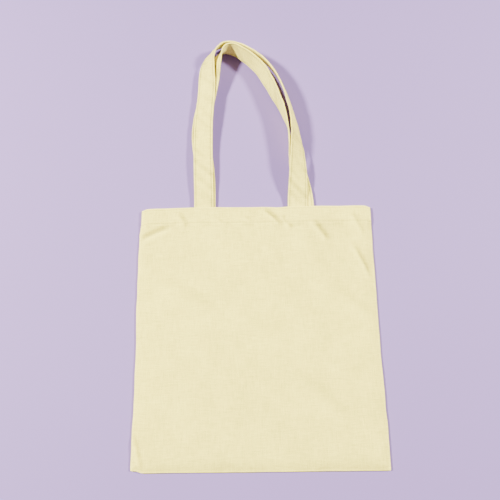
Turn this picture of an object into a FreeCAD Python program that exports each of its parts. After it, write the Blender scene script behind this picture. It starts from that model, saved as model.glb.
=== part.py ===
"""Canvas tote bag lying on its back, with two long self-fabric handles above the mouth.

Millimetres. The origin is the centre of the back panel's outer face, +X runs across the bag
to the right, +Y runs from the bottom seam towards the mouth and the handles, +Z points up
through the back panel, the inside and the front panel.
"""
import FreeCAD, Part
import math
import os
import re

from FreeCAD import Rotation, Vector

# Every size that can be set by itself: alias, value in millimetres, meaning.
SIZES = (
    ("bag_width", 380, "across the bag, from side seam to side seam"),
    ("bag_length", 406, "from the bottom seam to the mouth"),
    ("canvas", 0.7, "one layer of canvas"),
    ("hem_depth", 28, "depth of the hem round the mouth"),
    ("allowance", 9, "canvas turned in beyond each seam"),
    ("seam_thread", 1, "room that the seam stitching takes at the edge of the bag"),
    ("overlock_thread", 1, "stitching round the raw edges of the turned-in canvas"),
    ("edge_slope", 20, "how far in from its flat edge the front panel reaches its full height"),
    ("thread_width", 0.6, "a row of stitches, seen from above"),
    ("thread_height", 0.3, "how far a row of stitches sinks in or stands out"),
    ("mouth_row", 3, "from the mouth to the upper row of hem stitches"),
    ("hem_row", 2, "from the lower fold of the hem to its row of stitches"),
    ("strap_width", 32, "a handle, across its flat face"),
    ("strap_thickness", 2.4, "a handle: four layers of canvas, pressed"),
    ("strap_end", 22, "length of a handle that is sewn inside the hem"),
    ("strap_row", 3, "from a handle's edge to its row of stitches"),
    ("layer_gap", 0.5, "clearance between the two sewn-in ends that lie over each other"),
    ("stitch_gap", 0.1, "clearance between the front panel's raw edge and the overlock"),
    ("hem_end_gap", 0.5, "clearance between the end of a hem and the overlock"),
    ("front_left_x", -86, "front handle, centre of the left end"),
    ("front_right_x", 69, "front handle, centre of the right end"),
    ("back_left_x", -83, "back handle, centre of the left end"),
    ("back_right_x", 80, "back handle, centre of the right end"),
    ("front_rise", 301, "front handle, from the mouth to the far side of its loop"),
    ("back_rise", 291, "back handle, from the mouth to the far side of its loop"),
)

# Sizes that follow from the ones above.
DERIVED = (
    ("half_width", "bag_width / 2"),
    ("half_length", "bag_length / 2"),
    ("edge_width", "allowance + seam_thread"),
    ("hem_thickness", "3 * canvas"),
    ("edge_height", "4 * canvas"),
    ("back_end_z", "hem_thickness"),
    ("front_end_z", "back_end_z + strap_thickness + layer_gap"),
    ("bag_height", "front_end_z + strap_thickness + hem_thickness"),
    ("hem_half_width", "half_width - edge_width - overlock_thread - hem_end_gap"),
    ("top_half_width", "half_width - edge_width - edge_slope"),
)

# How each handle lies, in the widths that the loops were laid out for: across the bag, beyond
# the mouth, height of its lower edge, and roll. At roll 0 the strap lies flat, at 90 it stands
# on edge with its inner edge up, and past 90 it leans outwards.
LAID_WIDTH = 32
FRONT_LOOP = (
    (-86, 0, None, 0),
    (-87, 57, 9.5, 0),
    (-88, 116, 10.5, 2),
    (-86, 170, 9.5, 13),
    (-82, 222, 9, 20),
    (-81, 261, 7, 38),
    (-74, 284, 4, 58),
    (-55, 301, 3, 70),
    (-10, 291, 3, 74),
    (35, 249, 3, 74),
    (58, 192, 3.5, 73),
    (69, 135, 5.5, 63),
    (71, 92, 11, 42),
    (71, 47, 11, 18),
    (69, 0, None, 0),
)
BACK_LOOP = (
    (-83, 0, None, 0),
    (-85, 67, 4.5, 2),
    (-92, 132, 5, 7),
    (-84, 192, 5, 16),
    (-73, 240, 5, 31),
    (-66, 268, 5, 50),
    (-56, 286, 5, 70),
    (-44, 291, 5.5, 88),
    (-22, 282, 6, 101),
    (9, 253, 6, 110),
    (34, 206, 5, 106),
    (54, 154, 2.5, 88),
    (64, 97, 1.5, 62),
    (72, 57, 3, 24),
    (80, 0, None, 0),
)
SPANS = 40  # straight-sided lengths that each loop is built from

doc = FreeCAD.newDocument("canvas_tote_bag")
sheet = doc.addObject("Spreadsheet::Sheet", "sizes")
nodes = []


def bound(expression):
    """The expression with each word turned into the sheet cell of that alias."""
    return re.sub(r"[a-z][a-z_]*", lambda word: "sizes." + word.group(0), expression)


def fill_sheet():
    """Put the driving sizes in the sheet as plain numbers, and the derived ones as formulas."""
    for row, (alias, value, meaning) in enumerate(SIZES, start=1):
        sheet.set(f"A{row}", meaning)
        sheet.set(f"B{row}", str(value))
        sheet.setAlias(f"B{row}", alias)
    doc.recompute()
    for row, (alias, formula) in enumerate(DERIVED, start=len(SIZES) + 1):
        sheet.set(f"A{row}", alias.replace("_", " "))
        sheet.set(f"B{row}", "=" + formula)
        sheet.setAlias(f"B{row}", alias)
        doc.recompute()


def size(alias):
    """The number in a cell of the sheet."""
    return float(getattr(sheet, alias))


def box(name, low, sides):
    """A box from the expressions of its low corner and of its three sides."""
    piece = doc.addObject("Part::Box", name)
    for axis, value in zip("xyz", low):
        piece.setExpression(f"Placement.Base.{axis}", bound(value))
    for side, value in zip(("Length", "Width", "Height"), sides):
        piece.setExpression(side, bound(value))
    return piece


def tray(name, low_z, high_z, past_mouth):
    """The solid under the front panel: flat on top, sloping at the sides and the bottom.

    A wedge narrows along its own Y, so it is turned to stand on the XY plane: its Y becomes
    the height, and its Z runs from the mouth to the bottom seam.
    """
    solid = doc.addObject("Part::Wedge", name)
    solid.Placement.Rotation = Rotation(Vector(1, 0, 0), 90)
    limits = {
        "Xmin": "-(half_width - edge_width)",
        "Xmax": "half_width - edge_width",
        "X2min": "-top_half_width",
        "X2max": "top_half_width",
        "Ymin": low_z,
        "Ymax": high_z,
        "Zmin": f"-(half_length + {past_mouth})",
        "Z2min": f"-(half_length + {past_mouth})",
        "Zmax": "half_length - edge_width",
        "Z2max": "half_length - edge_width - edge_slope",
    }
    for limit, value in limits.items():
        solid.setExpression(limit, bound(value))
    return solid


def fuse(name, pieces):
    """Several overlapping or touching pieces made one."""
    whole = doc.addObject("Part::MultiFuse", name)
    whole.Shapes = pieces
    whole.Refine = True
    return whole


def cut(name, base, tool):
    """The base with the tool's space taken out of it."""
    left = doc.addObject("Part::Cut", name)
    left.Base = base
    left.Tool = tool
    return left


def node(piece, label):
    """Give a finished sub-part its own name and put it on the list to export."""
    piece.Label = label
    nodes.append(piece)
    return piece


def turned_in_canvas(panel, low_z, raw_gap):
    """The strips of a panel that are turned in along both side seams and the bottom seam."""
    side_y = "-(half_length - seam_thread)"
    side_length = "bag_length - seam_thread"
    strip = f"allowance - {raw_gap}"
    left_x = "-(half_width - seam_thread)"
    right_x = f"half_width - edge_width + {raw_gap}"
    return [
        box(panel + "_left_strip", (left_x, side_y, low_z), (strip, side_length, "canvas")),
        box(panel + "_right_strip", (right_x, side_y, low_z), (strip, side_length, "canvas")),
        box(panel + "_bottom_strip", (left_x, side_y, low_z),
            ("bag_width - 2 * seam_thread", strip, "canvas")),
    ]


def hem_rows(panel, low_z, half_row):
    """The two rows of stitches that hold a hem, sunk flush in the panel's outer face."""
    rows = []
    for name, y in (("hem", "half_length - hem_depth + hem_row"),
                    ("mouth", "half_length - mouth_row")):
        corner = (f"-({half_row})", f"{y} - thread_width / 2", low_z)
        row = box(f"{panel}_{name}_row", corner, (f"2 * ({half_row})", "thread_width", "thread_height"))
        rows.append(node(row, f"{panel}_{name}_thread"))
    return rows


def sunk(panel, rows):
    """The panel with the room for its rows of stitches taken out."""
    for count, row in enumerate(rows, start=1):
        panel = cut(f"{panel.Name}_groove_{count}", panel, row)
    return panel


def back_panel():
    """Flat canvas, its hem folded twice to the inside, and its turned-in edges."""
    face = box("back_face", ("-half_width", "-half_length", "0"),
               ("bag_width", "bag_length", "canvas"))
    hem = box("back_hem", ("-hem_half_width", "half_length - hem_depth", "canvas"),
              ("2 * hem_half_width", "hem_depth", "2 * canvas"))
    strips = turned_in_canvas("back", "canvas", "0")
    whole = fuse("back_canvas", [face, hem] + strips)
    rows = hem_rows("back", "0", "hem_half_width")
    node(sunk(whole, rows), "back_panel")


def front_panel():
    """Canvas that lies on the turned-in edges and rises over the sewn-in handle ends."""
    outer = tray("front_outside", "edge_height", "bag_height", "0")
    flat_edge = box("front_edge", ("-half_width", "-half_length", "edge_height - canvas"),
                    ("bag_width", "bag_length", "canvas"))
    inner = tray("front_inside", "edge_height - canvas", "bag_height - canvas", "1")
    shell = cut("front_shell", fuse("front_block", [outer, flat_edge]), inner)
    hem = box("front_hem", ("-top_half_width", "half_length - hem_depth", "bag_height - hem_thickness"),
              ("2 * top_half_width", "hem_depth", "2 * canvas"))
    strips = turned_in_canvas("front", "2 * canvas", "stitch_gap")
    whole = fuse("front_canvas", [shell, hem] + strips)
    rows = hem_rows("front", "bag_height - thread_height", "top_half_width - hem_end_gap")
    node(sunk(whole, rows), "front_panel")


def seam_stitching():
    """The seam threads at the edge of the bag and the overlock round the raw edges."""
    thickness = "2 * canvas"
    seam_y = "-(half_length - seam_thread)"
    seam_length = "bag_length - seam_thread"
    raw = "half_width - edge_width - overlock_thread"
    lock_y = "-(half_length - edge_width - overlock_thread)"
    lock_length = "bag_length - edge_width - overlock_thread"
    pieces = (
        ("left_seam_thread", ("-half_width", seam_y, "canvas"), ("seam_thread", seam_length, thickness)),
        ("right_seam_thread", ("half_width - seam_thread", seam_y, "canvas"),
         ("seam_thread", seam_length, thickness)),
        ("bottom_seam_thread", ("-half_width", "-half_length", "canvas"),
         ("bag_width", "seam_thread", thickness)),
        ("left_overlock_thread", (f"-({raw} + overlock_thread)", lock_y, "canvas"),
         ("overlock_thread", lock_length, thickness)),
        ("right_overlock_thread", (raw, lock_y, "canvas"), ("overlock_thread", lock_length, thickness)),
        ("bottom_overlock_thread", (f"-({raw} + overlock_thread)", "-(half_length - edge_width)", "canvas"),
         (f"2 * ({raw} + overlock_thread)", "overlock_thread", thickness)),
    )
    for name, corner, sides in pieces:
        node(box(name + "_row", corner, sides), name)


def sewn_end(panel, side):
    """One end of a handle, sewn flat inside the hem."""
    corner = (f"{panel}_{side}_x - strap_width / 2", "half_length - strap_end", f"{panel}_end_z")
    end = box(f"{panel}_{side}_end", corner, ("strap_width", "strap_end", "strap_thickness"))
    node(end, f"{panel}_handle_{side}_end")


def loop_points(panel, laid):
    """The centre line and roll of a loop, stretched from the laid sizes to those of the sheet."""
    left, right = size(f"{panel}_left_x"), size(f"{panel}_right_x")
    stretch_x = (right - left) / (laid[-1][0] - laid[0][0])
    stretch_y = size(f"{panel}_rise") / max(row[1] for row in laid)
    half_strap = size("strap_width") / 2
    end_z = size(f"{panel}_end_z") + size("strap_thickness") / 2
    points, rolls = [], []
    for x, y, low_edge, roll in laid:
        z = end_z if low_edge is None else low_edge + half_strap * math.sin(math.radians(roll))
        points.append(Vector(left + (x - laid[0][0]) * stretch_x, size("half_length") + y * stretch_y, z))
        rolls.append(roll)
    return points, rolls


def smooth(points, marks, first, last):
    """A smooth curve through the points, reached at the given marks along it."""
    curve = Part.BSplineCurve()
    curve.interpolate(Points=points, Parameters=marks, InitialTangent=first, FinalTangent=last)
    return curve


def loop_frames(panel, laid):
    """Places along a loop, each with its direction across the strap and out of its front face."""
    points, rolls = loop_points(panel, laid)
    marks = [0.0]
    for before, after in zip(points, points[1:]):
        marks.append(marks[-1] + (after - before).Length)
    line = smooth(points, marks, Vector(0, 1, 0), Vector(0, -1, 0))
    turn = smooth([Vector(mark, roll, 0) for mark, roll in zip(marks, rolls)], marks,
                  Vector(1, 0, 0), Vector(1, 0, 0))
    up = Vector(0, 0, 1)
    spare = (size("strap_width") - LAID_WIDTH) / 2
    frames = []
    for step in range(SPANS + 1):
        mark = marks[-1] * step / SPANS
        roll = math.radians(turn.value(mark).y)
        along = line.tangent(mark)[0]
        if step in (0, SPANS):
            roll, along = 0.0, Vector(0, 1 if step == 0 else -1, 0)
        inwards = along.cross(up).normalize()
        rising = inwards.cross(along)
        across = inwards * math.cos(roll) + rising * math.sin(roll)
        # A wider strap that stands on edge keeps its upper edge where it was, clear of the other.
        place = line.value(mark) - inwards * (spare * math.cos(roll) * math.sin(roll) ** 2)
        frames.append((place, across, across.cross(along)))
    return frames


def band(frames, offset, width, low, high):
    """A band along the frames: offset across the strap, from height low to high off its middle.

    Each side of each span is a ruled face between two straight edges, so bands that share
    their frames touch without a gap however much the strap twists.
    """
    near, far = offset - width / 2, offset + width / 2
    corners = ((near, low), (far, low), (far, high), (near, high))
    rings = []
    for place, across, out in frames:
        ring = [place + across * sideways + out * height for sideways, height in corners]
        rings.append([Part.makeLine(a, b) for a, b in zip(ring, ring[1:] + ring[:1])])
    faces = [Part.Face(Part.Wire(ring)) for ring in (rings[0], rings[-1])]
    for ring, next_ring in zip(rings, rings[1:]):
        faces += [Part.makeRuledSurface(a, b) for a, b in zip(ring, next_ring)]
    shell = Part.makeShell(faces)
    shell.sewShape()
    solid = Part.makeSolid(shell)
    if solid.Volume < 0:
        solid.reverse()
    return solid


def handle(panel, laid):
    """A handle's free loop, with a row of stitches along each edge on both of its faces."""
    frames = loop_frames(panel, laid)
    half = size("strap_thickness") / 2
    loop = doc.addObject("Part::Feature", f"{panel}_loop")
    loop.Shape = band(frames, 0, size("strap_width"), -half, half)
    node(loop, f"{panel}_handle")
    row_offset = size("strap_width") / 2 - size("strap_row")
    width, proud = size("thread_width"), size("thread_height")
    for name, offset in (("outer", -row_offset), ("inner", row_offset)):
        row = doc.addObject("Part::Feature", f"{panel}_{name}_row")
        row.Shape = Part.makeCompound([
            band(frames, offset, width, half, half + proud),
            band(frames, offset, width, -half - proud, -half),
        ])
        node(row, f"{panel}_handle_{name}_thread")


def build():
    """Make every sub-part."""
    fill_sheet()
    back_panel()
    front_panel()
    seam_stitching()
    for panel, laid in (("back", BACK_LOOP), ("front", FRONT_LOOP)):
        for side in ("left", "right"):
            sewn_end(panel, side)
        handle(panel, laid)
    doc.recompute()


def export():
    """Check every object, then write each sub-part to its own file."""
    for item in doc.Objects:
        if "Invalid" in item.State or "Error" in item.State:
            raise RuntimeError(f"{item.Label} failed to build: {item.State}")
    for piece in nodes:
        if piece.Shape.isNull() or not piece.Shape.isValid():
            raise RuntimeError(f"{piece.Label} has no sound shape")
    os.makedirs("parts", exist_ok=True)
    for piece in nodes:
        piece.Shape.exportStep(f"parts/{piece.Label}.step")
        bounds = piece.Shape.BoundBox
        print(f"{piece.Label:28s} {piece.Shape.Volume:10.1f} mm3  z {bounds.ZMin:.2f} to {bounds.ZMax:.2f}")


build()
export()
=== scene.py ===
"""Canvas tote bag: the sewn cloth, its stitches and its finish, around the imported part.

The bag lies on its back panel. +X runs across it, +Y towards the mouth and the handles, and
+Z up. Everything is in metres, and MM turns a maker's millimetres into them.
"""
import math

import bmesh
import bpy
import numpy as np
from mathutils import Matrix, Vector, noise


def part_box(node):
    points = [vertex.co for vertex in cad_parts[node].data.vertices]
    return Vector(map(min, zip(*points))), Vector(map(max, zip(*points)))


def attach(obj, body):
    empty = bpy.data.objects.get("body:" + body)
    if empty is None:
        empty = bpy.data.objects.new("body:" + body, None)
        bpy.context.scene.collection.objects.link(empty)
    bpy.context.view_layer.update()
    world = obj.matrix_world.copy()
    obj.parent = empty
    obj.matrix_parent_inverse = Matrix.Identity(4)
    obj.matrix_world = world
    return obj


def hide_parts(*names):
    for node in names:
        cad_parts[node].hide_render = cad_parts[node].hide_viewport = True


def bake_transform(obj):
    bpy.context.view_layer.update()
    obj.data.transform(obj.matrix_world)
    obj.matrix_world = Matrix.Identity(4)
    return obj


bl_info = {
    "name": "Canvas tote bag",
    "version": (1, 0, 0),
    "blender": (4, 5, 0),
    "location": "3D View > Sidebar > Tote bag",
    "description": "Builds the cloth, stitches and finish of a canvas tote bag",
    "category": "Object",
}

MM = 0.001
TINY = 1e-6

# The straps: the depth of their grooves, and how far past the mouth they begin to ripple.
GROOVE_DEPTH = 0.5 * MM
FREE_AFTER = 25 * MM

# From the end of a row to its first stitch.
ROW_END = 2 * MM

# The table: from its middle to its edge, and how far it lies below the bag.
TABLE_REACH = 9
TABLE_GAP = 0.4 * MM

# The lamps: name, place and power in watts. They share one size and one warm colour.
LAMPS = (
    ("right_lamp", (1.66, 0.45, 1.48), 163),
    ("left_lamp", (-1.62, 0.40, 1.55), 229),
)
LAMP_SIZE = 0.28
WARM = (1.0, 0.95, 0.40)
ROOM_COLOUR = (0.9, 0.8, 0.9, 1)
ROOM_LIGHT = 0.12

CAMERA_PLACE = (-0.0010, -0.0805, 0.8207)
CAMERA_TURN = (14.51, 0.87, -0.75)
SENSOR_WIDTH = 36
LENS = 37.44

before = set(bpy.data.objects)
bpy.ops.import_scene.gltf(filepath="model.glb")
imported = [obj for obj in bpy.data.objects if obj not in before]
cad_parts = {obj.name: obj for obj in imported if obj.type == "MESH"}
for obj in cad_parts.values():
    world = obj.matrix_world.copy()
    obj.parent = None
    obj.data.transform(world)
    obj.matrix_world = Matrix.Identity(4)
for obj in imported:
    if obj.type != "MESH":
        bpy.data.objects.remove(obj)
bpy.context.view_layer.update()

HALF_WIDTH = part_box("back_panel")[1].x
HALF_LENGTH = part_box("back_panel")[1].y
FRONT_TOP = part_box("front_panel")[1].z
HEM_ROW_Y = (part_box("front_hem_thread")[0].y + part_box("front_hem_thread")[1].y) / 2
MOUTH_ROW_Y = (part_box("front_mouth_thread")[0].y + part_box("front_mouth_thread")[1].y) / 2
SEWN_END_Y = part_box("front_handle_left_end")[0].y
STRAP_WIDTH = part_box("front_handle_left_end")[1].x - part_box("front_handle_left_end")[0].x
ROOTS = {
    (panel, side): sum(corner.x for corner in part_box(f"{panel}_handle_{side}_end")) / 2
    for panel in ("front", "back")
    for side in ("left", "right")
}

# How each handle lies, in millimetres and degrees: across the bag, beyond the mouth, height of
# its lower edge, and roll. At roll 0 the strap lies flat, at 90 it stands on edge.
FRONT_LOOP = (
    (-86, 0, None, 0),
    (-87, 57, 9.5, 0),
    (-88, 116, 10.5, 2),
    (-86, 170, 9.5, 13),
    (-82, 222, 9, 20),
    (-81, 261, 7, 38),
    (-74, 284, 4, 58),
    (-55, 301, 3, 70),
    (-10, 291, 3, 74),
    (35, 249, 3, 74),
    (58, 192, 3.5, 73),
    (69, 135, 5.5, 63),
    (71, 92, 11, 42),
    (71, 47, 11, 18),
    (69, 0, None, 0),
)
BACK_LOOP = (
    (-83, 0, None, 0),
    (-85, 67, 4.5, 2),
    (-92, 132, 5, 7),
    (-84, 192, 5, 16),
    (-73, 240, 5, 31),
    (-66, 268, 5, 50),
    (-56, 286, 5, 70),
    (-44, 291, 5.5, 88),
    (-22, 282, 6, 101),
    (9, 253, 6, 110),
    (34, 206, 5, 106),
    (54, 154, 2.5, 88),
    (64, 97, 1.5, 62),
    (72, 57, 3, 24),
    (80, 0, None, 0),
)

# Creases pressed into the front panel, in millimetres from the bag's centre: the two ends, the
# half width of the valley, and its depth.
CREASES = (
    (-127, 195, -111, 171, 3.4, 1.9),
    (-20, 188, -4, 177, 3.0, 1.2),
    (16, 199, 44, 173, 3.4, 3.3),
    (43, 188, 61, 165, 3.2, 3.0),
    (97, 176, 119, 145, 3.8, 2.9),
    (160, 192, 178, 156, 4.2, 1.9),
    (160, 138, 184, 84, 3.4, 2.6),
    (-190, 152, -140, 173, 4.2, 3.0),
    (-70, 186, -52, 176, 2.2, 1.0),
    (134, 60, 186, 20, 7.0, 0.9),
    (60, -60, 150, -140, 9.0, 0.8),
    (-150, 90, -60, 30, 9.0, 0.8),
    (-188, -150, -171, -201, 3.0, 1.8),
)


class CanvasSizes(bpy.types.PropertyGroup):
    """Sizes of the cloth and of the sewing."""

    cloth: bpy.props.FloatProperty(
        name="Cloth", description="Thickness of one layer of canvas",
        default=0.7 * MM, unit="LENGTH", precision=5)
    layer: bpy.props.FloatProperty(
        name="Layer spacing", description="From the middle of one folded layer to the next",
        default=0.8 * MM, unit="LENGTH", precision=5)
    allowance: bpy.props.FloatProperty(
        name="Seam allowance", description="Cloth turned in beyond each seam",
        default=9 * MM, unit="LENGTH", precision=4)
    hem_depth: bpy.props.FloatProperty(
        name="Hem depth", description="From the mouth to the lower fold of the hem",
        default=28 * MM, unit="LENGTH", precision=4)
    mesh_step: bpy.props.FloatProperty(
        name="Mesh step", description="Spacing of the mesh lines on the flat of the cloth",
        default=1.7 * MM, unit="LENGTH", precision=4)
    strap_thickness: bpy.props.FloatProperty(
        name="Strap thickness", description="Four pressed layers of canvas",
        default=2.2 * MM, unit="LENGTH", precision=5)
    strap_row: bpy.props.FloatProperty(
        name="Strap stitch row", description="From a strap's edge to its row of stitches",
        default=3 * MM, unit="LENGTH", precision=4)
    stitch_pitch: bpy.props.FloatProperty(
        name="Stitch pitch", description="From the start of one stitch to the next",
        default=3.1 * MM, unit="LENGTH", precision=5)
    stitch_length: bpy.props.FloatProperty(
        name="Stitch length", description="Length of one stitch as it shows",
        default=2.5 * MM, unit="LENGTH", precision=5)
    thread: bpy.props.FloatProperty(
        name="Thread", description="Diameter of the sewing thread",
        default=0.42 * MM, unit="LENGTH", precision=5)


class CanvasColours(bpy.types.PropertyGroup):
    """Colours of the cloth, the thread and the table."""

    canvas: bpy.props.FloatVectorProperty(
        name="Canvas", description="Natural unbleached cotton", subtype="COLOR", size=3,
        default=(0.85, 0.76, 0.27), min=0, max=1)
    thread: bpy.props.FloatVectorProperty(
        name="Thread", description="Cream sewing thread", subtype="COLOR", size=3,
        default=(0.85, 0.79, 0.42), min=0, max=1)
    fleck: bpy.props.FloatVectorProperty(
        name="Fleck", description="Bits of seed husk spun into the yarn", subtype="COLOR", size=3,
        default=(0.36, 0.27, 0.13), min=0, max=1)
    floor: bpy.props.FloatVectorProperty(
        name="Table", description="Pale tinted table top", subtype="COLOR", size=3,
        default=(0.235, 0.157, 0.80), min=0, max=1)


# ---------------------------------------------------------------- small helpers


def smooth_step(low, high, value):
    """0 below low, 1 above high, and a smooth rise between."""
    share = np.clip((value - low) / (high - low), 0, 1)
    return share * share * (3 - 2 * share)


def hump(value, middle, reach):
    """1 at the middle, fading to 0 on both sides of it over about reach."""
    return np.exp(-(((value - middle) / reach) ** 2))


def cloud(x, y, scale, seed):
    """Smooth noise from -1 to 1 over arrays of points, with lumps about scale across.

    Each seed gives other lumps.
    """
    flat = zip(np.ravel(x) / scale, np.ravel(y) / scale)
    return np.array([noise.noise((a, b, seed)) for a, b in flat]).reshape(np.shape(x))


def clamped_spline(marks, values, first, last):
    """A curve with smooth curvature through the values at the marks, as a function of the mark.

    first and last are its slopes at the two ends. The function returns value and slope.
    """
    marks, values = np.asarray(marks, float), np.asarray(values, float)
    gaps = np.diff(marks)
    count = len(marks)
    left = np.zeros((count, count))
    right = np.zeros_like(values)
    left[0, 0] = left[-1, -1] = 1
    right[0], right[-1] = first, last
    for k in range(1, count - 1):
        left[k, k - 1 : k + 2] = 1 / gaps[k - 1], 2 / gaps[k - 1] + 2 / gaps[k], 1 / gaps[k]
        right[k] = 3 * ((values[k] - values[k - 1]) / gaps[k - 1] ** 2
                        + (values[k + 1] - values[k]) / gaps[k] ** 2)
    slopes = np.linalg.solve(left, right)

    def curve(at):
        at = np.asarray(at, float)
        k = np.clip(np.searchsorted(marks, at) - 1, 0, count - 2)
        gap = gaps[k][:, None]
        t = ((at - marks[k]) / gaps[k])[:, None]
        value = ((2 * t**3 - 3 * t**2 + 1) * values[k] + (t**3 - 2 * t**2 + t) * gap * slopes[k]
                 + (3 * t**2 - 2 * t**3) * values[k + 1] + (t**3 - t**2) * gap * slopes[k + 1])
        slope = ((6 * t**2 - 6 * t) / gap * (values[k] - values[k + 1])
                 + (3 * t**2 - 4 * t + 1) * slopes[k] + (3 * t**2 - 2 * t) * slopes[k + 1])
        return value, slope

    return curve


def unit(rows):
    """The rows of an array, each made one long."""
    return rows / np.linalg.norm(rows, axis=1, keepdims=True)


def add_object(name, mesh):
    """A new object for the mesh, at the origin."""
    obj = bpy.data.objects.new(name, mesh)
    bpy.context.scene.collection.objects.link(obj)
    return obj


def apply_modifiers(obj):
    """Replace the object's mesh by the mesh that its modifiers make."""
    graph = bpy.context.evaluated_depsgraph_get()
    made = bpy.data.meshes.new_from_object(obj.evaluated_get(graph))
    obj.modifiers.clear()
    old, obj.data = obj.data, made
    bpy.data.meshes.remove(old)


def soften(obj, angle=50):
    """Smooth shading, with edges sharper than the angle left sharp."""
    for face in obj.data.polygons:
        face.use_smooth = True
    obj.data.set_sharp_from_angle(angle=math.radians(angle))


def spread_lines(start, end, step):
    """Evenly spaced values from start to end, no further apart than step."""
    return np.linspace(start, end, max(2, math.ceil(abs(end - start) / step) + 1))


def cloth_grid(name, columns, rows, place, keep=None, painted_light=None, tube=False):
    """A grid of cloth whose lines run at the given flat measures.

    place turns arrays of flat measures across and along into places, and keep says which flat
    places the cloth covers. The flat measures stay on the mesh as the UV map "cloth", and the
    function given after keep sets a float attribute of painted light and shade: above 0 where a
    highlight is painted, and below 0 where shade is painted along a row of stitches or in a
    crease. A tube is joined along its sides and closed at its ends.
    """
    bm = bmesh.new()
    bmesh.ops.create_grid(bm, x_segments=len(columns) - 1, y_segments=len(rows) - 1, size=1)
    bm.verts.ensure_lookup_table()
    co = np.array([vert.co[:2] for vert in bm.verts])
    across = columns[np.rint((co[:, 0] + 1) / 2 * (len(columns) - 1)).astype(int)]
    along = rows[np.rint((co[:, 1] + 1) / 2 * (len(rows) - 1)).astype(int)]
    for vert, point in zip(bm.verts, place(across, along)):
        vert.co = point
    sew = bm.loops.layers.uv.new("cloth")
    for face in bm.faces:
        for loop in face.loops:
            loop[sew].uv = across[loop.vert.index], along[loop.vert.index]
    if painted_light is not None:
        # A float attribute of painted highlight and shade, which the cloth materials read.
        layer = bm.verts.layers.float.new("painted_light")
        for vert, value in zip(bm.verts, painted_light(across, along)):
            vert[layer] = value
    if keep is not None:
        kept = keep(across, along)
        trimmed = [face for face in bm.faces if not all(kept[vert.index] for vert in face.verts)]
        bmesh.ops.delete(bm, geom=trimmed, context="FACES")
    if tube:
        bmesh.ops.remove_doubles(bm, verts=bm.verts, dist=0.001 * MM)
        bmesh.ops.holes_fill(bm, edges=[edge for edge in bm.edges if edge.is_boundary])
        bmesh.ops.recalc_face_normals(bm, faces=bm.faces)
    mesh = bpy.data.meshes.new(name)
    bm.to_mesh(mesh)
    bm.free()
    return add_object(name, mesh)


def thicken(obj, thickness):
    """Give cloth its thickness, half to each side."""
    solid = obj.modifiers.new("thickness", "SOLIDIFY")
    solid.thickness = thickness
    solid.offset = 0
    solid.use_even_offset = False
    apply_modifiers(obj)


# ---------------------------------------------------------------- how the cloth lies


def fold(past, radius):
    """How far back and how deep a fold carries the cloth that lies past its edge line."""
    turned = np.clip(past / radius, 0, math.pi)
    back = radius * np.sin(turned) - np.clip(past - math.pi * radius, 0, None)
    return np.where(past > 0, back, past), radius * (1 - np.cos(turned))


def outline_shift(x, y):
    """How far the sewn bag's outline bows off a true rectangle, at each place."""
    left = np.clip(-x / HALF_WIDTH, 0, 1) ** 3
    right = np.clip(x / HALF_WIDTH, 0, 1) ** 3
    bottom = np.clip(-y / HALF_LENGTH, 0, 1) ** 3
    top = np.clip(y / HALF_LENGTH, 0, 1) ** 3
    full = smooth_step(-25 * MM, 35 * MM, y) * smooth_step(172 * MM, 158 * MM, y)
    slack = smooth_step(-110 * MM, -145 * MM, y)
    waist = smooth_step(-100 * MM, -30 * MM, y)
    hem = smooth_step(172 * MM, 180 * MM, y)
    out_left = 1.7 * full + 0.7 * slack - 0.9 * hem + 0.5 * cloud(y, 0 * y, 26 * MM, 4.4)
    dent = hump(y, 125 * MM, 16 * MM)
    out_right = 0.9 * slack - 1.7 * waist - 0.7 * dent + 0.5 * cloud(y, 0 * y, 26 * MM, 8.1)
    low_corner = smooth_step(-172 * MM, -184 * MM, x)
    out_bottom = 1.5 - 3.2 * low_corner + 0.4 * cloud(x, 0 * x, 40 * MM, 1.2)
    mouth_corner = smooth_step(177 * MM, 190 * MM, np.abs(x)) ** 2
    out_top = 0.8 * hump(x, -100 * MM, 70 * MM) - 2.4 * mouth_corner
    out_top = out_top - 1.2 * hump(x, 36 * MM, 14 * MM) + 0.4 * cloud(x, 0 * x, 30 * MM, 3.1)
    return (MM * (right * out_right - left * out_left), MM * (top * out_top - bottom * out_bottom))


def crease_lines(x, y):
    """The soft ridges and the valleys of the pressed creases, as two heights above 0."""
    ridges, valleys = np.zeros_like(x), np.zeros_like(x)
    for x0, y0, x1, y1, half, deep in CREASES:
        start, run = np.array((x0, y0)) * MM, np.array((x1 - x0, y1 - y0)) * MM
        length = np.linalg.norm(run)
        run = run / length
        along = (x - start[0]) * run[0] + (y - start[1]) * run[1]
        side = (x - start[0]) * run[1] - (y - start[1]) * run[0]
        side = side + 1.2 * MM * np.sin(along / length * math.pi)
        fade = smooth_step(-0.15 * length, 0.3 * length, along)
        fade = fade * smooth_step(1.15 * length, 0.7 * length, along)
        ridges += fade * deep * hump(side, 2.1 * half * MM, 1.5 * half * MM)
        valleys += fade * deep * hump(side, 0, half * MM)
    over_strap = [smooth_step(24 * MM, 18 * MM, np.abs(x - ROOTS["front", side]))
                  for side in ("left", "right")]
    free = 1 - sum(over_strap) * smooth_step(170 * MM, 178 * MM, y)
    return ridges * free, valleys * free


def crease_depth(x, y):
    """How the pressed creases raise and lower the front panel."""
    ridges, valleys = crease_lines(x, y)
    return MM * (0.8 * ridges - 1.2 * valleys)


def held_by_handles(x, y):
    """How much the sewn-in straps hold the front panel up, from 0 to 1."""
    held_up = 0
    for side in ("left", "right"):
        root = (ROOTS["front", side] + ROOTS["back", side]) / 2
        reach = np.clip(np.abs(x - root) - 21 * MM, 0, None) / (30 * MM)
        held_up = held_up + np.exp(-reach**2)
    return np.clip(held_up * smooth_step(120 * MM, 182 * MM, y), 0, 1)


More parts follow.
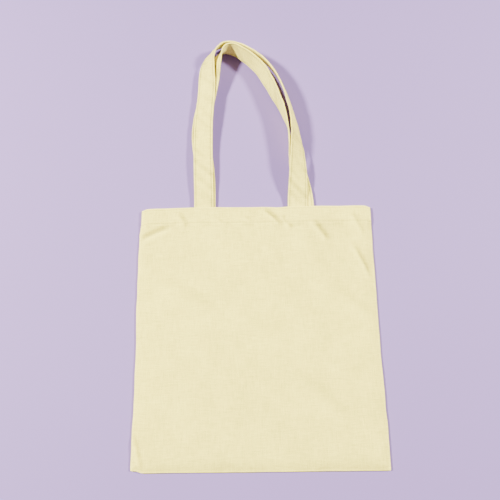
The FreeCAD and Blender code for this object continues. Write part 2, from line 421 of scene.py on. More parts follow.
def front_height(x, y):
    """Height of the middle of the front panel's outer layer."""
    sizes = bpy.context.scene.canvas_sizes
    edge_x, edge_y = HALF_WIDTH - sizes.cloth, -HALF_LENGTH + sizes.cloth
    inside = np.clip(np.minimum(edge_x - np.abs(x), y - edge_y), 0, None)
    hem_fold = HALF_LENGTH - sizes.hem_depth
    in_hem = smooth_step(hem_fold - 8 * MM, hem_fold + 6 * MM, y)
    edge = sizes.cloth / 2 + (3 + 2 * in_hem) * sizes.layer
    middle = FRONT_TOP - sizes.cloth / 2
    top = middle - 1.9 * MM * (1 - held_by_handles(x, y))
    top = top + 0.7 * MM * cloud(x, y, 95 * MM, 0.4) + 0.25 * MM * cloud(x, y, 34 * MM, 5.2)
    rise = 1 - np.exp(-((inside / (8.5 * MM)) ** 1.35))
    height = edge + (top - edge) * rise
    pull = np.exp(-inside / (11 * MM)) * smooth_step(0, 2.5 * MM, inside)
    beside = edge_x - np.abs(x) < y - edge_y
    pucker = np.where(beside, cloud(y, np.sign(x), 8 * MM, 7.7), cloud(x, 0 * y, 8 * MM, 1.9))
    hanging = smooth_step(85 * MM, 165 * MM, y)
    hanging = hanging * smooth_step(HEM_ROW_Y + 6 * MM, HEM_ROW_Y - 4 * MM, y)
    height = height + 0.9 * MM * hanging * rise * cloud(x + 0.25 * y, 0.3 * y, 20 * MM, 6.6)
    return height + 0.55 * MM * pull * pucker + crease_depth(x, y) + hem_relief(x, y)


def painted_crease_shade(across, along):
    """Painted shade and highlight from the front panel's creases: highlight painted on the ridges,
    shade painted in the hollows, in patches just below the hem's stitches and in soft folds hanging
    below the hem.
    """
    ridges, valleys = crease_lines(across, along)
    shade_patches = np.clip(0.3 + 1.2 * cloud(across, 0 * across, 16 * MM, 5.7), 0, 1)
    under_hem_shade = shade_patches * hump(along, HEM_ROW_Y - 4 * MM, 3.4 * MM)
    hanging = smooth_step(20 * MM, 150 * MM, along)
    hanging = hanging * smooth_step(HEM_ROW_Y + 6 * MM, HEM_ROW_Y - 6 * MM, along)
    folds = np.clip(cloud(across + 0.3 * along, 0.35 * along, 20 * MM, 6.6), -1, 0)
    return 0.4 * ridges - 1.1 * valleys - 1.5 * under_hem_shade + 0.9 * hanging * folds


def hem_relief(x, y):
    """The hem stands up at its lower fold, and ropes slightly between its rows of stitches."""
    between = smooth_step(HEM_ROW_Y - 6 * MM, HEM_ROW_Y + 4 * MM, y)
    roping = 0.28 * MM * between * cloud(x + 0.7 * (y - HEM_ROW_Y), 0 * y, 9 * MM, 2.6)
    return roping + 0.25 * MM * smooth_step(HEM_ROW_Y - 2.4 * MM, HEM_ROW_Y - 1.2 * MM, y)


def stitch_dip(y):
    """How deep the rows of stitches pull the outer layer of the hem into it."""
    hem = 0.55 * MM * hump(y, HEM_ROW_Y, 0.9 * MM)
    return hem + 0.25 * MM * hump(y, MOUTH_ROW_Y, 0.9 * MM)


def back_height(x, y):
    """Height of the middle of the back panel's outer layer, which lies flat on the table."""
    lifted = np.clip(0.3 * MM * cloud(x, y, 60 * MM, 9.3), 0, None)
    return bpy.context.scene.canvas_sizes.cloth / 2 + lifted


# ---------------------------------------------------------------- the pieces


def panel_lines(sizes, side, step):
    """The flat measures of a panel's mesh lines, across and along, and where its folds begin.

    side is -1 for the left half, 1 for the right half, and 0 for the whole panel.
    """
    turn = sizes.layer / 2 * math.pi
    edge_x = HALF_WIDTH - (sizes.layer + sizes.cloth) / 2
    edge_y = HALF_LENGTH - (sizes.layer + sizes.cloth) / 2
    mouth = HALF_LENGTH - sizes.layer - sizes.cloth / 2
    border = 14 * MM
    hem_turn = mouth + 2 * turn
    tuck = hem_turn + sizes.hem_depth - 1.5 * sizes.layer - sizes.cloth
    half = np.concatenate([
        spread_lines(0, edge_x - border, step),
        spread_lines(edge_x - border, edge_x, 0.7 * step),
        spread_lines(edge_x, edge_x + turn / 2, turn / 6),
        spread_lines(edge_x + turn / 2, edge_x + turn, turn / 6),
        spread_lines(edge_x + turn, edge_x + turn + sizes.allowance, 1.1 * MM),
    ])
    rows = np.concatenate([
        spread_lines(-edge_y - turn - sizes.allowance, -edge_y - turn, 3 * MM),
        spread_lines(-edge_y - turn, -edge_y, turn / 6),
        spread_lines(-edge_y, -edge_y + border, 0.7 * step),
        spread_lines(-edge_y + border, HEM_ROW_Y - 8 * MM, step),
        spread_lines(HEM_ROW_Y - 8 * MM, HEM_ROW_Y - 3 * MM, 1 * MM),
        spread_lines(HEM_ROW_Y - 3 * MM, HEM_ROW_Y + 3 * MM, 0.5 * MM),
        spread_lines(HEM_ROW_Y + 3 * MM, MOUTH_ROW_Y - 2.5 * MM, 0.8 * step),
        spread_lines(MOUTH_ROW_Y - 2.5 * MM, mouth, 0.5 * MM),
        spread_lines(mouth, hem_turn, turn / 4),
        spread_lines(hem_turn, tuck, 2.5 * MM),
        spread_lines(tuck, tuck + turn, turn / 6),
        spread_lines(tuck + turn, tuck + turn + 8 * MM, 4 * MM),
    ])
    half = np.unique(np.round(half, 8))
    columns = {1: half, -1: -half[::-1], 0: np.concatenate([-half[:0:-1], half])}[side]
    return columns, np.unique(np.round(rows, 8)), edge_x, edge_y, mouth, tuck


def sewn_panel(name, side, step, height, inwards, strip_z):
    """A panel, or half of one: turned in along its seams, and folded twice into its hem.

    height gives the height of its outer layer, inwards is -1 where the bag's inside lies below
    it and 1 where it lies above, and strip_z is the height of the turned-in strips.
    """
    sizes = bpy.context.scene.canvas_sizes
    columns, rows, edge_x, edge_y, mouth, tuck = panel_lines(sizes, side, step)
    hem_start = HEM_ROW_Y - 3.3 * MM
    radius = sizes.layer / 2

    def place(across, along):
        past = np.abs(across) - edge_x
        back_x, down_x = fold(past, radius)
        in_hem = along > hem_start
        straight = np.clip(past - radius * math.pi / 2, 0, None)
        corner = np.clip(past / radius, 0, math.pi / 2)
        back_x = np.where(in_hem & (past > 0), radius * np.sin(corner), back_x)
        wall = np.where(in_hem & (past > 0), radius * (1 - np.cos(corner)) + straight, 0)
        x = np.sign(across) * (edge_x + back_x)
        back_y, down_y = fold(-along - edge_y, radius)
        back_m, down_m = fold(along - mouth, sizes.layer)
        back_t, up_t = fold(along - tuck, radius)
        y = np.where(along < 0, -edge_y - back_y, mouth + back_m)
        inner_y = mouth - (tuck - mouth - math.pi * sizes.layer)
        y = np.where(along > tuck, inner_y - back_t, y)
        outer = height(x, y)
        turned = np.maximum(np.where(in_hem, 0, down_x), down_y) / sizes.layer
        z = outer + (strip_z - outer) * turned
        depth = down_m - up_t
        dip = stitch_dip(y) * (1 - depth / (2 * sizes.layer))
        z = z + inwards * (depth + wall + np.where(along < mouth, dip, dip * (turned == 0)))
        shift_x, shift_y = outline_shift(x, y)
        return np.column_stack([x + shift_x, y + shift_y, z])

    def painted_light(across, along):
        # Painted light: painted highlights along the folded seams, the mouth's fold and the hem's
        # lower fold, and painted shade along the two rows of stitches.
        seams = hump(np.abs(across), edge_x, 1.6 * MM) + hump(along, -edge_y, 1.6 * MM)
        rim_highlight = hump(along, mouth, 1.5 * MM)
        hem_ridge_highlight = 0.6 * hump(along, HEM_ROW_Y - 2.6 * MM, 1.1 * MM)
        rows = hump(along, HEM_ROW_Y, 0.7 * MM) + 0.8 * hump(along, MOUTH_ROW_Y, 0.7 * MM)
        tone = seams + rim_highlight + hem_ridge_highlight - 2 * rows
        if inwards > 0:
            return tone
        # The front's outer face also gets the painted shade and highlight of its creases.
        outer = (np.abs(across) < edge_x) & (along < mouth)
        return tone + outer * painted_crease_shade(across, along)

    def keep(across, along):
        past = np.abs(across) - edge_x
        beyond_wall = (past > 2.8 * MM) & (along > hem_start - 1 * MM)
        above_wall = (past > TINY) & (along > mouth + TINY)
        slit = (past > TINY) & (np.abs(along - hem_start) < 0.5 * MM)
        corner = (past > TINY) & (along < -edge_y - TINY)
        return ~(beyond_wall | above_wall | slit | corner)

    obj = cloth_grid(name, columns, rows, place, keep, painted_light)
    thicken(obj, sizes.cloth)
    near_middle = 0.4 * MM
    for vert in obj.data.vertices:
        if side and abs(vert.co.x) < near_middle:
            vert.co.x = 0
    soften(obj)
    obj.data.materials.append(bpy.data.materials["Canvas"])
    return obj


def strap_line(panel, laid):
    """How a strap lies, as a function of the distance along its middle from the mouth.

    Returns that function, the length from mouth to mouth, and the length sewn into each hem.
    """
    sizes = bpy.context.scene.canvas_sizes
    half = STRAP_WIDTH / 2
    stack = sizes.cloth + 2 * sizes.layer + 0.05 * MM + sizes.strap_thickness / 2
    end_z = stack if panel == "back" else FRONT_TOP - stack
    points, rolls = [], []
    for x, y, low, roll in laid:
        z = end_z if low is None else low * MM + half * math.sin(math.radians(roll))
        points.append((x * MM, HALF_LENGTH + y * MM, z))
        rolls.append((math.radians(roll),))
    points = np.array(points)
    marks = np.concatenate([[0], np.cumsum(np.linalg.norm(np.diff(points, axis=0), axis=1))])
    line = clamped_spline(marks, points, (0, 1, 0), (0, -1, 0))
    turn = clamped_spline(marks, rolls, (0,), (0,))

    def lies(at):
        """Place, direction along, direction across to the inner edge, and out of the front."""
        inner = np.clip(at, 0, marks[-1])
        place, along = line(inner)
        along = unit(along)
        along[at <= 0] = 0, 1, 0
        along[at >= marks[-1]] = 0, -1, 0
        place = place + along * (at - inner)[:, None]
        roll = np.where(at == inner, turn(inner)[0][:, 0], 0)[:, None]
        level = unit(np.cross(along, (0, 0, 1)))
        across = np.cos(roll) * level + np.sin(roll) * np.cross(level, along)
        return place, along, across, np.cross(across, along)

    return lies, marks[-1], HALF_LENGTH - SEWN_END_Y


def strap_outline(sizes):
    """Places round a strap's section, across it and out of it: flat faces drawn in along the
    rows of stitches, one folded edge, and one edge where two folds meet."""
    half, thick = STRAP_WIDTH / 2, sizes.strap_thickness / 2
    row = half - sizes.strap_row
    flat = np.concatenate([
        spread_lines(-half + thick, -row - 1.1 * MM, 1 * MM),
        -row + np.array((-0.8, -0.4, 0, 0.4, 0.8, 1.3)) * MM,
        spread_lines(-row + 3 * MM, row - 3 * MM, 3.4 * MM),
        row + np.array((-1.3, -0.8, -0.4, 0, 0.4, 0.8)) * MM,
        spread_lines(row + 1.1 * MM, half - thick / 2, 1 * MM),
    ])
    groove = GROOVE_DEPTH * hump(np.abs(flat), row, 0.55 * MM)
    face = thick - groove - 0.1 * MM * (np.abs(flat) > row + 1 * MM)
    bend = np.radians((75, 50, 25, 0))
    split = np.radians((60, 30, 0, -35, -70))
    meeting = half - thick / 2
    edge_w = np.concatenate([meeting + thick / 2 * np.cos(split), (meeting,)])
    edge_h = np.concatenate([thick / 2 * (1 + np.sin(split)), (0,)])
    fold_w = -half + thick * (1 - np.cos(bend))
    fold_h = thick * np.sin(bend)
    w = np.concatenate([-half + thick * (1 - np.cos(bend[::-1])), flat, edge_w])
    h = np.concatenate([fold_h[::-1], face, edge_h])
    w = np.concatenate([w, edge_w[-2::-1], flat[::-1], fold_w])
    h = np.concatenate([h, -edge_h[-2::-1], -face[::-1], -fold_h])
    return w, h


def away_from_ends(along, length, reach):
    """0 where a strap leaves either hem, and 1 once it is further than reach from both."""
    return smooth_step(0, reach, along) * smooth_step(length, length - reach, along)


def strap_wobble(at, w, seed):
    """Small bends and ripples of a strap, so that it lies like cloth: outwards by this much."""
    edge = np.abs(w) / (STRAP_WIDTH / 2)
    ripple = 0.3 * MM * cloud(at, w, 7 * MM, seed) * edge**2
    drag = 1.6 * MM * cloud(at + 0.9 * w, 0 * at, 15 * MM, seed + 1.7) * (1 - 0.6 * edge**2)
    return ripple + drag + 0.6 * MM * cloud(at, 0 * at, 40 * MM, seed + 3.3)


def strap(panel, laid, seed):
    """A handle's strap in one piece, from one sewn-in end to the other."""
    sizes = bpy.context.scene.canvas_sizes
    lies, length, sewn = strap_line(panel, laid)
    w, h = strap_outline(sizes)
    round_it = np.concatenate([[0], np.cumsum(np.hypot(np.diff(w), np.diff(h)))])
    rows = spread_lines(-sewn, length + sewn, 2.2 * MM)

    def shape(across, along):
        place, _, inwards, out = lies(along)
        side = np.interp(across, round_it, w)
        free = away_from_ends(along, length, FREE_AFTER)
        rise = np.interp(across, round_it, h) + free * strap_wobble(along, side, seed)
        return place + inwards * side[:, None] + out * rise[:, None]

    def painted_light(across, along):
        # Painted light on the strap: a painted highlight along its folded edges, and painted shade
        # along its rows of stitches and in slanting creases.
        level = np.interp(across, round_it, w)
        side = np.abs(level)
        row = STRAP_WIDTH / 2 - sizes.strap_row
        edge = smooth_step(row + 0.8 * MM, row + 1.8 * MM, side)
        slant = cloud(along + 0.9 * level, 0.2 * level, 13 * MM, seed + 3)
        drawn = np.clip(slant - 0.1, 0, 1) * away_from_ends(along, length, 12 * MM)
        return 0.8 * edge - 3.4 * hump(side, row, 0.85 * MM) - 3.4 * drawn

    obj = cloth_grid(f"{panel}_handle_strap", round_it, rows, shape, painted_light=painted_light, tube=True)
    soften(obj)
    obj.data.materials.append(bpy.data.materials["Handle canvas"])
    return obj, lies, length, sewn


def stitches(name, places, alongs, outs):
    """Stitches at the given places, each lying along its own direction, half sunk in the cloth."""
    sizes = bpy.context.scene.canvas_sizes
    bm = bmesh.new()
    bmesh.ops.create_uvsphere(bm, u_segments=8, v_segments=5, radius=1,
                              matrix=Matrix.Rotation(math.pi / 2, 4, "Y"))
    mesh = bpy.data.meshes.new(name)
    bm.to_mesh(mesh)
    bm.free()
    obj = add_object(name, mesh)
    repeat = obj.modifiers.new("repeat", "ARRAY")
    repeat.count = len(places)
    repeat.use_relative_offset = False
    apply_modifiers(obj)
    verts = obj.data.vertices
    co = np.array([vert.co for vert in verts]).reshape(len(places), -1, 3)
    lies = np.stack([alongs, np.cross(outs, alongs), outs], axis=1)
    lies = lies * np.array((sizes.stitch_length, sizes.thread, sizes.thread))[:, None] / 2
    verts.foreach_set("co", (co @ lies + np.array(places)[:, None]).astype(np.float32).ravel())
    for face in obj.data.polygons:
        face.use_smooth = True
    obj.data.update()
    obj.data.materials.append(bpy.data.materials["Thread"])
    return obj


def strap_stitches(panel, lies, length, sewn, seed):
    """The rows of stitches along both edges of a strap, on both faces."""
    sizes = bpy.context.scene.canvas_sizes
    at = np.arange(-sewn + ROW_END, length + sewn - ROW_END, sizes.stitch_pitch)
    free = away_from_ends(at, length, FREE_AFTER)
    place, along, across, out = lies(at)
    row = STRAP_WIDTH / 2 - sizes.strap_row
    level = sizes.strap_thickness / 2 - GROOVE_DEPTH + 0.35 * sizes.thread
    places, alongs, outs = [], [], []
    for side in (-row, row):
        lift = free * strap_wobble(at, side + 0 * at, seed)
        for face in (-1, 1):
            spots = place + across * side + out * (lift + face * level)[:, None]
            places.extend(spots)
            alongs.extend(unit(np.gradient(spots, axis=0)))
            outs.extend(out)
    return stitches(f"{panel}_handle_stitches", places, alongs, outs)


def hem_stitches(name, panel, x_from, x_to):
    """The two rows of stitches round the mouth, on the outside and the inside of one hem."""
    sizes = bpy.context.scene.canvas_sizes
    height, inwards = (front_height, -1) if panel == "front" else (back_height, 1)
    x = np.arange(x_from, x_to, sizes.stitch_pitch)
    places, alongs, outs = [], [], []
    for row in (HEM_ROW_Y, MOUTH_ROW_Y):
        y = row + 0 * x
        shift_x, shift_y = outline_shift(x, y)
        for inner in (False, True):
            dip = 2 * sizes.layer if inner else stitch_dip(y)
            skin = (sizes.cloth / 2 + 0.3 * sizes.thread) * (1 if inner else -1)
            z = height(x, y) + inwards * (dip + skin)
            spots = np.column_stack([x + shift_x, y + shift_y, z])
            run = unit(np.gradient(spots, axis=0))
            places.extend(spots)
            alongs.extend(run)
            outs.extend(unit(np.cross(run, (0, 1, 0))))
    return stitches(name, places, alongs, outs)


def seam_stitches(name, node):
    """The row of stitches that holds two turned-in strips together."""
    sizes = bpy.context.scene.canvas_sizes
    low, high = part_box(node)
    upright = high.y - low.y > high.x - low.x
    start, end = (low.y, high.y) if upright else (low.x, high.x)
    at = np.arange(start + ROW_END, end - ROW_END, sizes.stitch_pitch)
    middle = (low + high) / 2
    level = sizes.cloth / 2 + 1.5 * sizes.layer
    fixed = middle.x if upright else middle.y
    fixed = fixed - math.copysign(0.6 * MM, fixed)
    flat = (fixed + 0 * at, at) if upright else (at, fixed + 0 * at)
    places = np.column_stack([*flat, level + 0 * at])
    along = np.tile((0.0, 1.0, 0.0) if upright else (1.0, 0.0, 0.0), (len(at), 1))
    return stitches(name, places, along, np.tile((0.0, 0.0, 1.0), (len(at), 1)))


def overlock(name, node):
    """Thread looped over the raw edges of two turned-in strips."""
    sizes = bpy.context.scene.canvas_sizes
    low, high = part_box(node)
    upright = high.y - low.y > high.x - low.x
    start, end = (low.y, high.y) if upright else (low.x, high.x)
    turns = int((end - start) / (2.6 * MM))
    angle = np.linspace(0, 2 * math.pi * turns, turns * 8 + 1)
    along = start + (end - start) * angle / angle[-1]
    raw = (HALF_WIDTH if upright else HALF_LENGTH) - sizes.layer - sizes.cloth - sizes.allowance
    side = math.copysign(1, (low.x + high.x) if upright else (low.y + high.y))
    squared = np.abs(np.cos(angle)) ** 0.4 * np.sign(np.cos(angle))
    across = side * (raw + 1.4 * MM - 1.9 * MM * squared)
    level = sizes.cloth / 2 + 1.5 * sizes.layer
    z = level + 1.0 * MM * np.abs(np.sin(angle)) ** 0.4 * np.sign(np.sin(angle))
    path = np.column_stack([across, along, z] if upright else [along, across, z])
    forward = unit(np.gradient(path, axis=0))
    run = np.tile((0.0, 1.0, 0.0) if upright else (1.0, 0.0, 0.0), (len(path), 1))
    out = unit(np.cross(forward, run))
    up = np.cross(out, forward)
    round_it = np.linspace(0, 1, 6)

    def shape(turn, step):
        k = np.rint(step).astype(int)
        spin = (2 * math.pi * turn)[:, None]
        return path[k] + sizes.thread / 2 * (np.cos(spin) * out[k] + np.sin(spin) * up[k])

    obj = cloth_grid(name, round_it, np.arange(len(path), dtype=float), shape, tube=True)
    soften(obj, 80)
    obj.data.materials.append(bpy.data.materials["Thread"])
    return obj


# ---------------------------------------------------------------- materials


def feed(tree, socket, value):
    """Give a socket a value, or wire another node's output to it."""
    if isinstance(value, bpy.types.NodeSocket):
        tree.links.new(value, socket)
    else:
        socket.default_value = value


def put(tree, kind, inputs=None, **settings):
    """A new shader node with its settings, and its inputs given by name or number."""
    new = tree.nodes.new(kind)
    for name, value in settings.items():
        setattr(new, name, value)
    for key, value in (inputs or {}).items():
        feed(tree, new.inputs[key], value)
    return new


def mottle(tree, place, scale, detail=2.0):
    """The output of a noise node over the given places."""
    inputs = {"Vector": place, "Scale": scale, "Detail": detail}
    return put(tree, "ShaderNodeTexNoise", inputs).outputs[0]


def calc(tree, operation, *values):
    """The output of a math node."""
    return put(tree, "ShaderNodeMath", dict(enumerate(values)), operation=operation).outputs[0]


def mixed(tree, factor, first, second, mode="MIX"):
    """The output of a colour mixing node."""
    new = put(tree, "ShaderNodeMix", data_type="RGBA", blend_type=mode)
    for number, value in ((0, factor), (6, first), (7, second)):
        feed(tree, new.inputs[number], value)
    return new.outputs[2]


def new_group(name, inputs, outputs):
    """A shader node group with named inputs and outputs, and its two end nodes."""
    tree = bpy.data.node_groups.new(name, "ShaderNodeTree")
    for label, kind, default in inputs:
        socket = tree.interface.new_socket(label, in_out="INPUT", socket_type=kind)
        socket.default_value = default
    for label, kind in outputs:
        tree.interface.new_socket(label, in_out="OUTPUT", socket_type=kind)
    return tree, put(tree, "NodeGroupInput").outputs, put(tree, "NodeGroupOutput").inputs


def weave_group():
    """Plain weave: yarns over and under each other, each a little different along its length."""
    tree, given, result = new_group(
        "Plain weave",
        [("Pitch", "NodeSocketFloat", 0.6 * MM), ("Unevenness", "NodeSocketFloat", 1.0)],
        [("Height", "NodeSocketFloat"), ("Yarn", "NodeSocketFloat")])
    flat = put(tree, "ShaderNodeUVMap", uv_map="cloth").outputs[0]
    flat = put(tree, "ShaderNodeSeparateXYZ", {0: flat}).outputs
    yarns, waves = [], []
    for k, (across, along) in enumerate(((flat[0], flat[1]), (flat[1], flat[0]))):
        count = calc(tree, "DIVIDE", across, given["Pitch"])
        waves.append(calc(tree, "SINE", calc(tree, "MULTIPLY", count, math.pi)))
        which = calc(tree, "MULTIPLY", calc(tree, "FLOOR", count), 17.3)
        run = calc(tree, "MULTIPLY", along, 55.0)
        at = put(tree, "ShaderNodeCombineXYZ", {0: which, 1: run, 2: 9.0 * k}).outputs[0]
        yarns.append(calc(tree, "SUBTRACT", mottle(tree, at, 1.0), 0.5))
    over = calc(tree, "GREATER_THAN", calc(tree, "MULTIPLY", *waves), 0.0)
    heights = [calc(tree, "ABSOLUTE", wave) for wave in waves]
    under = calc(tree, "SUBTRACT", 1.0, over)
    height = calc(tree, "ADD", calc(tree, "MULTIPLY", over, heights[0]),
                  calc(tree, "MULTIPLY", under, heights[1]))
    yarn = calc(tree, "ADD", calc(tree, "MULTIPLY", over, yarns[0]),
                calc(tree, "MULTIPLY", under, yarns[1]))
    yarn = calc(tree, "MULTIPLY", yarn, given["Unevenness"])
    feed(tree, result["Height"], calc(tree, "ADD", height, calc(tree, "MULTIPLY", yarn, 0.8)))
    feed(tree, result["Yarn"], yarn)
    return tree


def cotton_group():
    """Natural cotton: soft changes of tone, uneven yarns, flecks of husk, painted shade between the
    yarns, and painted highlight and shade from the mesh.
    """
    tree, given, result = new_group(
        "Natural cotton",
        [("Colour", "NodeSocketColor", (1, 1, 1, 1)), ("Fleck", "NodeSocketColor", (0, 0, 0, 1)),
         ("Yarn", "NodeSocketFloat", 0.0), ("Height", "NodeSocketFloat", 1.0),
         ("Contrast", "NodeSocketFloat", 1.0), ("Painted light", "NodeSocketFloat", 0.13),
         ("Flecks", "NodeSocketFloat", 0.6)],
        [("Colour", "NodeSocketColor")])
    flat = put(tree, "ShaderNodeUVMap", uv_map="cloth").outputs[0]
    cloudy = calc(tree, "SUBTRACT", mottle(tree, flat, 22.0, 3.0), 0.5)
    tone = calc(tree, "MULTIPLY", cloudy, 0.16)
    tone = calc(tree, "ADD", tone, calc(tree, "MULTIPLY", given["Yarn"], 0.42))
    # Painted shade in the hollows between the yarns.
    valley = calc(tree, "MULTIPLY", calc(tree, "SUBTRACT", given["Height"], 0.7), 0.2)
    tone = calc(tree, "MULTIPLY", calc(tree, "ADD", tone, valley), given["Contrast"])
    # Painted highlight and shade from the mesh's float attribute, scaled by the group's strength
    # for it.
    painted_tone = put(tree, "ShaderNodeAttribute", attribute_name="painted_light").outputs["Fac"]
    tone = calc(tree, "ADD", tone, calc(tree, "MULTIPLY", painted_tone, given["Painted light"]))
    value = calc(tree, "ADD", tone, 1.0)
    shade = put(tree, "ShaderNodeCombineColor", {0: value, 1: value, 2: value}).outputs[0]
    colour = mixed(tree, 1.0, given["Colour"], shade, "MULTIPLY")
    cells = put(tree, "ShaderNodeTexVoronoi", {"Vector": flat, "Scale": 260.0}).outputs
    small = calc(tree, "LESS_THAN", cells["Distance"], 0.055)
    chance = put(tree, "ShaderNodeSeparateColor", {0: cells["Color"]}).outputs[0]
    few = calc(tree, "LESS_THAN", chance, 0.16)
    amount = calc(tree, "MULTIPLY", calc(tree, "MULTIPLY", small, few), given["Flecks"])
    feed(tree, result["Colour"], mixed(tree, amount, colour, given["Fleck"]))
    return tree


def new_material(name, **constants):
    """A material with a Principled shader, whose named constants are set directly."""
    material = bpy.data.materials.new(name)
    material.use_nodes = True
    shader = material.node_tree.nodes["Principled BSDF"]
    for label, value in constants.items():
        shader.inputs[label.replace("_", " ")].default_value = value
    return material, material.node_tree, shader.inputs


def cloth_material(name, colour, fleck, pitch, contrast, wrinkle):
    """Woven cotton of one colour."""
    material, tree, surface = new_material(
        name, Roughness=0.88, Specular_IOR_Level=0.22, Sheen_Weight=0.10, Sheen_Roughness=0.6)
    weave = put(tree, "ShaderNodeGroup", node_tree=bpy.data.node_groups["Plain weave"])
    feed(tree, weave.inputs["Pitch"], pitch)
    cotton = put(tree, "ShaderNodeGroup", node_tree=bpy.data.node_groups["Natural cotton"])
    for label, value in (("Colour", (*colour, 1)), ("Fleck", (*fleck, 1)),
                         ("Yarn", weave.outputs["Yarn"]), ("Height", weave.outputs["Height"]),
                         ("Contrast", contrast)):
        feed(tree, cotton.inputs[label], value)
    feed(tree, surface["Base Color"], cotton.outputs["Colour"])
    flat = put(tree, "ShaderNodeUVMap", uv_map="cloth").outputs[0]
    lumps = mottle(tree, flat, 130.0, 2.5)
    soft = put(tree, "ShaderNodeBump", {"Strength": 1.0, "Distance": wrinkle, "Height": lumps})
    fine = {"Strength": 0.7, "Distance": 0.10 * MM, "Height": weave.outputs["Height"]}
    yarns = put(tree, "ShaderNodeBump", {**fine, "Normal": soft.outputs[0]})
    feed(tree, surface["Normal"], yarns.outputs[0])
    return material


def thread_material(colour):
    """Spun cotton thread."""
    _, tree, surface = new_material(
        "Thread", Roughness=0.7, Specular_IOR_Level=0.3, Sheen_Weight=0.2)
    place = put(tree, "ShaderNodeTexCoord").outputs["Object"]
    tone = mottle(tree, place, 900.0)
    dark = tuple(0.78 * part for part in colour)
    feed(tree, surface["Base Color"], mixed(tree, tone, (*colour, 1), (*dark, 1)))


def table_material(colour):
    """Smooth matt table top."""
    _, tree, surface = new_material("Table top", Roughness=0.75, Specular_IOR_Level=0.15)
    place = put(tree, "ShaderNodeTexCoord").outputs["Object"]
    tone = mottle(tree, place, 2.5)
    dark = tuple(0.95 * part for part in colour)
    feed(tree, surface["Base Color"], mixed(tree, tone, (*colour, 1), (*dark, 1)))


# ---------------------------------------------------------------- operators


class TOTE_OT_materials(bpy.types.Operator):
    """Make the canvas, thread and table materials"""

    bl_idname = "tote.materials"
    bl_label = "Materials"

    def execute(self, context):
        colours = context.scene.canvas_colours
        weave_group()
        cotton_group()
        cloth_material("Canvas", colours.canvas, colours.fleck, 0.62 * MM, 2.0, 0.7 * MM)
        cloth_material("Handle canvas", colours.canvas, colours.fleck, 0.62 * MM, 2.0, 0.5 * MM)
        thread_material(colours.thread)
        table_material(colours.floor)
        return {"FINISHED"}


class TOTE_OT_back_panel(bpy.types.Operator):
    """Sew the back panel, which lies flat on the table"""

    bl_idname = "tote.back_panel"
    bl_label = "Back panel"

    def execute(self, context):
        sizes = context.scene.canvas_sizes
        strips = sizes.cloth / 2 + sizes.layer
        obj = sewn_panel("back_panel_cloth", 0, 1.5 * sizes.mesh_step, back_height, 1, strips)
        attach(obj, "back")
        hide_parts("back_panel")
        row_end = HALF_WIDTH - ROW_END
        rows = hem_stitches("back_hem_stitches", "back", -row_end, row_end)
        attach(rows, "back")
        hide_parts("back_hem_thread", "back_mouth_thread")
        return {"FINISHED"}


class TOTE_OT_front_panel(bpy.types.Operator):
    """Sew the front panel in two halves"""

    bl_idname = "tote.front_panel"
    bl_label = "Front panel"

    def execute(self, context):
        sizes = context.scene.canvas_sizes
        strips = sizes.cloth / 2 + 2 * sizes.layer
        for side, word in ((-1, "left"), (1, "right")):
            obj = sewn_panel(f"front_panel_{word}", side, sizes.mesh_step, front_height, -1, strips)
            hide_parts("front_panel")
            start, end = sorted((side * (HALF_WIDTH - ROW_END), side * 0.2 * MM))
            rows = hem_stitches(f"front_hem_stitches_{word}", "front", start, end)
            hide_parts("front_hem_thread", "front_mouth_thread")
            for piece in (obj, rows):
                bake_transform(piece)
        return {"FINISHED"}


def make_handle(panel, laid, seed):
    """A handle: its strap, and the rows of stitches along its edges."""
    obj, lies, length, sewn = strap(panel, laid, seed)
    rows = strap_stitches(panel, lies, length, sewn, seed)
    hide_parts(f"{panel}_handle", f"{panel}_handle_left_end", f"{panel}_handle_right_end")
    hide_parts(f"{panel}_handle_outer_thread", f"{panel}_handle_inner_thread")
    for piece in (obj, rows):
        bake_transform(piece)
    steps = 600
    middle = lies(np.linspace(-sewn, length + sewn, steps))[0]


class TOTE_OT_back_handle(bpy.types.Operator):
    """Lay the back panel's handle on the table beyond the mouth"""

    bl_idname = "tote.back_handle"
    bl_label = "Back handle"

    def execute(self, context):
        make_handle("back", BACK_LOOP, 21.7)
        return {"FINISHED"}


class TOTE_OT_front_handle(bpy.types.Operator):
    """Lay the front panel's handle over the back panel's"""

    bl_idname = "tote.front_handle"
    bl_label = "Front handle"

    def execute(self, context):
        make_handle("front", FRONT_LOOP, 12.4)
        return {"FINISHED"}


class TOTE_OT_seams(bpy.types.Operator):
    """Sew and overlock the side and bottom seams inside the bag"""

    bl_idname = "tote.seams"
    bl_label = "Seams"

    def execute(self, context):
        for place in ("left", "right", "bottom"):
            rows = seam_stitches(f"{place}_seam_stitches", f"{place}_seam_thread")
            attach(rows, "back")
            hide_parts(f"{place}_seam_thread")
            loops = overlock(f"{place}_overlock", f"{place}_overlock_thread")
            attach(loops, "back")
            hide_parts(f"{place}_overlock_thread")
        return {"FINISHED"}


def soft_light(name, place, power, target=(0, 0.05, 0)):
    """A square lamp that faces the target."""
    light = bpy.data.lights.new(name, "AREA")
    light.size, light.energy, light.color = LAMP_SIZE, power, WARM
    obj = bpy.data.objects.new(name, light)
    bpy.context.scene.collection.objects.link(obj)
    obj.location = place
    aim = Vector(target) - Vector(place)
    obj.rotation_euler = aim.to_track_quat("-Z", "Y").to_euler()
    return obj


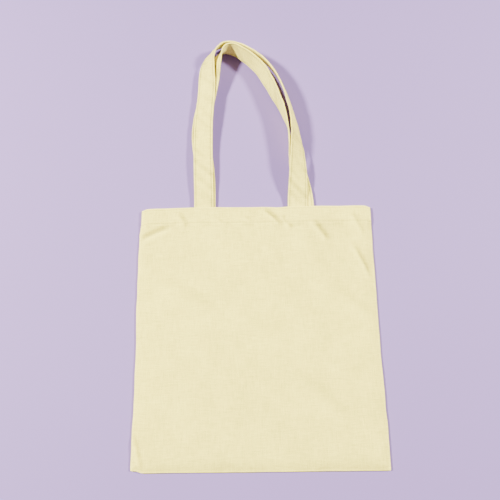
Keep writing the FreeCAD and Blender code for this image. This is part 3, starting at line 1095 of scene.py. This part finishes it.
class TOTE_OT_stage(bpy.types.Operator):
    """Set the table, the lamps and the camera"""

    bl_idname = "tote.stage"
    bl_label = "Table, lamps and camera"

    def execute(self, context):
        bm = bmesh.new()
        bmesh.ops.create_grid(bm, x_segments=2, y_segments=2, size=TABLE_REACH,
                              matrix=Matrix.Translation((0, 0, -TABLE_GAP)))
        mesh = bpy.data.meshes.new("table")
        bm.to_mesh(mesh)
        bm.free()
        mesh.materials.append(bpy.data.materials["Table top"])
        table = add_object("table", mesh)

        world = bpy.data.worlds.new("Room")
        context.scene.world = world
        world.use_nodes = True
        sky = world.node_tree.nodes["Background"].inputs
        sky["Color"].default_value = ROOM_COLOUR
        sky["Strength"].default_value = ROOM_LIGHT
        lamps = [soft_light(*lamp) for lamp in LAMPS]

        camera = bpy.data.objects.new("camera", bpy.data.cameras.new("camera"))
        context.scene.collection.objects.link(camera)
        camera.location = CAMERA_PLACE
        camera.rotation_euler = [math.radians(angle) for angle in CAMERA_TURN]
        camera.data.sensor_width = SENSOR_WIDTH
        camera.data.lens = LENS
        camera.data.clip_start = 0.01
        context.scene.camera = camera
        return {"FINISHED"}


PIECES = (TOTE_OT_materials, TOTE_OT_back_panel, TOTE_OT_front_panel, TOTE_OT_back_handle,
          TOTE_OT_front_handle, TOTE_OT_seams, TOTE_OT_stage)


class TOTE_PT_sidebar(bpy.types.Panel):
    """The tote bag's sizes, colours and pieces"""

    bl_label = "Tote bag"
    bl_space_type = "VIEW_3D"
    bl_region_type = "UI"
    bl_category = "Tote bag"

    def draw(self, context):
        for title, group in (("Sizes", context.scene.canvas_sizes),
                             ("Colours", context.scene.canvas_colours)):
            box = self.layout.box()
            box.label(text=title)
            for name in group.bl_rna.properties.keys():
                if name not in ("rna_type", "name"):
                    box.prop(group, name)
        for piece in PIECES:
            self.layout.operator(piece.bl_idname)


CLASSES = (CanvasSizes, CanvasColours, *PIECES, TOTE_PT_sidebar)


def register():
    """Add the classes and the scene's settings."""
    for cls in CLASSES:
        bpy.utils.register_class(cls)
    bpy.types.Scene.canvas_sizes = bpy.props.PointerProperty(type=CanvasSizes)
    bpy.types.Scene.canvas_colours = bpy.props.PointerProperty(type=CanvasColours)


def unregister():
    """Take away the scene's settings and the classes."""
    del bpy.types.Scene.canvas_colours
    del bpy.types.Scene.canvas_sizes
    for cls in reversed(CLASSES):
        bpy.utils.unregister_class(cls)


def main():
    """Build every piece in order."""
    register()
    for piece in PIECES:
        group, name = piece.bl_idname.split(".")
        if getattr(getattr(bpy.ops, group), name)() != {"FINISHED"}:
            raise RuntimeError(f"{piece.bl_label} was not built")


if __name__ == "__main__":
    main()
